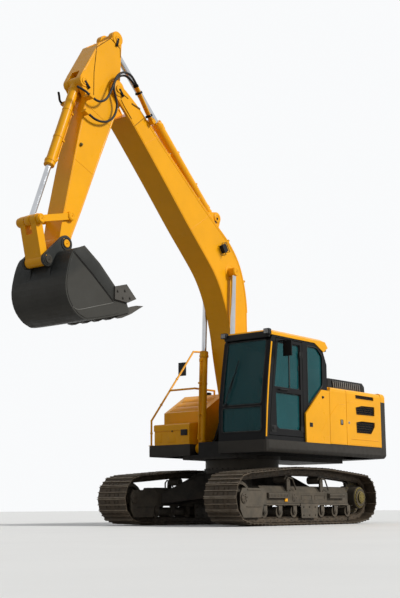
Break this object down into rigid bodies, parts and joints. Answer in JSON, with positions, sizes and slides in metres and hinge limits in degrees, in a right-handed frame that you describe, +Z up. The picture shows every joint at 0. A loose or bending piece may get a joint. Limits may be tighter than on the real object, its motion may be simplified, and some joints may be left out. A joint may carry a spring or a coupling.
{
  "type": "crawler excavator",
  "caption": "Tracked digging machine with a swinging upper structure, cab, long two-piece digging linkage and bucket.",
  "frame": {"origin": "on the ground, on the axis about which the upper structure swings", "axes": "+X towards the front, +Y towards the left (cab) side, +Z up"},
  "size_m": [7.9309, 2.992, 7.6027],
  "materials": {
    "yellow_paint": "gloss",
    "dark_paint": "satin",
    "black_paint": "satin",
    "track_steel": "worn",
    "machined_steel": "satin",
    "tinted_glass": "clear",
    "seat_fabric": "matte",
    "black_plastic": "matte",
    "engine_grey": "matte",
    "lamp_housing": "matte",
    "exhaust_steel": "satin",
    "hose_rubber": "matte",
    "chrome_rod": "polished",
    "bucket_paint": "satin",
    "tooth_steel": "matte"
  },
  "bodies": {
    "undercarriage": {"car_body": "dark_paint", "slew_ring": "machined_steel", "track_frames": "dark_paint", "track_left": "track_steel", "track_right": "track_steel", "idlers": "dark_paint", "final_drives": "dark_paint", "bottom_rollers": "dark_paint", "carrier_rollers": "dark_paint"},
    "house": {"main_frame": "dark_paint", "counterweight": "dark_paint", "cab_shell": "black_paint", "cab_glass": "tinted_glass", "cab_roof": "yellow_paint", "seat": "seat_fabric", "console": "black_plastic", "engine": "engine_grey", "side_panels": "yellow_paint", "top_deck": "yellow_paint", "louvre_box": "black_paint", "tanks": "yellow_paint", "toolbox": "yellow_paint", "handrails": "yellow_paint", "mirrors": "black_plastic", "lamps": "lamp_housing", "exhaust": "exhaust_steel"},
    "cab_door": {"cab_door": "black_paint", "cab_door_glass": "tinted_glass"},
    "left_door": {"left_door": "yellow_paint"},
    "rear_left_door": {"rear_left_door": "yellow_paint"},
    "right_door": {"right_door": "yellow_paint"},
    "engine_hood": {"engine_hood": "yellow_paint"},
    "toolbox_lid": {"toolbox_lid": "yellow_paint"},
    "boom": {"boom": "yellow_paint", "boom_pipes": "machined_steel", "boom_lamp": "lamp_housing", "arm_hoses": "hose_rubber"},
    "boom_barrels": {"boom_barrels": "yellow_paint"},
    "boom_rods": {"boom_rods": "chrome_rod"},
    "arm": {"arm": "yellow_paint", "arm_pipes": "machined_steel"},
    "arm_barrel": {"arm_barrel": "yellow_paint"},
    "arm_rod": {"arm_rod": "chrome_rod"},
    "bucket_barrel": {"bucket_barrel": "yellow_paint"},
    "bucket_rod": {"bucket_rod": "chrome_rod"},
    "rocker_arms": {"rocker_arms": "yellow_paint"},
    "bucket": {"bucket": "bucket_paint", "bucket_teeth": "tooth_steel"},
    "bucket_link": {"bucket_link": "yellow_paint"}
  },
  "joints": [
    {"name": "swing", "type": "hinge", "parent": "undercarriage", "child": "house", "pos_m": [0, 0, 0.93], "axis": [0, 0, 1], "continuous": true},
    {"name": "boom", "type": "hinge", "parent": "house", "child": "boom", "pos_m": [0.1, 0, 1.8], "axis": [0, -1, 0], "range_deg": [-88, 11]},
    {"name": "arm", "type": "hinge", "parent": "boom", "child": "arm", "pos_m": [3.39663, 0, 6.63268], "axis": [0, 1, 0], "range_deg": [-90, 16], "deforming": ["arm_hoses"]},
    {"name": "bucket", "type": "hinge", "parent": "arm", "child": "bucket", "pos_m": [4.45041, 0, 3.98465], "axis": [0, 1, 0], "range_deg": [-108, 40]},
    {"name": "boom_barrel_swing", "type": "hinge", "parent": "house", "child": "boom_barrels", "pos_m": [0.72, 0, 1.25], "axis": [0, -1, 0], "range_deg": [-84.6, 10.6]},
    {"name": "boom_rod_slide", "type": "slide", "parent": "boom_barrels", "child": "boom_rods", "axis": [-0.0472, 0, 0.9989], "range_m": [-1.131, 0.1415]},
    {"name": "arm_barrel_swing", "type": "hinge", "parent": "boom", "child": "arm_barrel", "pos_m": [0.8177, 0, 5.12352], "axis": [0, 1, 0], "range_deg": [-2, 0.4]},
    {"name": "arm_rod_slide", "type": "slide", "parent": "arm_barrel", "child": "arm_rod", "axis": [0.7343, 0, 0.6788], "range_m": [-1.172, 0.209]},
    {"name": "bucket_barrel_swing", "type": "hinge", "parent": "arm", "child": "bucket_barrel", "pos_m": [4.09101, 0, 6.5646], "axis": [0, 1, 0], "range_deg": [-2.15, 0.85]},
    {"name": "bucket_rod_slide", "type": "slide", "parent": "bucket_barrel", "child": "bucket_rod", "axis": [0.3454, 0, -0.9384], "range_m": [-0.801, 0.298]},
    {"name": "rocker", "type": "hinge", "parent": "arm", "child": "rocker_arms", "pos_m": [4.34347, 0, 4.41565], "axis": [0, 1, 0], "range_deg": [-80.3, 29.9]},
    {"name": "link", "type": "hinge", "parent": "bucket", "child": "bucket_link", "pos_m": [4.79659, 0, 3.69621], "axis": [0, -1, 0], "range_deg": [-85.5, 31.8]},
    {"name": "cab_door_hinge", "type": "hinge", "parent": "house", "child": "cab_door", "pos_m": [0.065, 1.295, 2.1], "axis": [0, 0, 1], "range_deg": [0, 120]},
    {"name": "left_door_hinge", "type": "hinge", "parent": "house", "child": "left_door", "pos_m": [-0.72, 1.325, 1.8], "axis": [0, 0, -1], "range_deg": [0, 90]},
    {"name": "rear_left_door_hinge", "type": "hinge", "parent": "house", "child": "rear_left_door", "pos_m": [-2.43, 1.325, 1.8], "axis": [0, 0, 1], "range_deg": [0, 90]},
    {"name": "right_door_hinge", "type": "hinge", "parent": "house", "child": "right_door", "pos_m": [-2.43, -1.325, 1.8], "axis": [0, 0, -1], "range_deg": [0, 90]},
    {"name": "hood_hinge", "type": "hinge", "parent": "house", "child": "engine_hood", "pos_m": [-2.296, -0.335, 2.2953], "axis": [0, -1, 0], "range_deg": [0, 60]},
    {"name": "toolbox_hinge", "type": "hinge", "parent": "house", "child": "toolbox_lid", "pos_m": [0.517, -0.7975, 1.704], "axis": [0, -1, 0], "range_deg": [0, 80]}
  ],
  "couplings": [
    {"joint": "boom_barrel_swing", "follows": "boom", "ratio": 0.961},
    {"joint": "boom_rod_slide", "follows": "boom", "m_per_rad": 0.736},
    {"joint": "arm_barrel_swing", "follows": "arm", "ratio": 0.0217},
    {"joint": "arm_rod_slide", "follows": "arm", "m_per_rad": 0.7457},
    {"joint": "bucket_barrel_swing", "follows": "bucket", "ratio": 0.0193},
    {"joint": "bucket_rod_slide", "follows": "bucket", "m_per_rad": 0.424},
    {"joint": "rocker", "follows": "bucket", "ratio": 0.742},
    {"joint": "link", "follows": "bucket", "ratio": 0.7898}
  ]
}
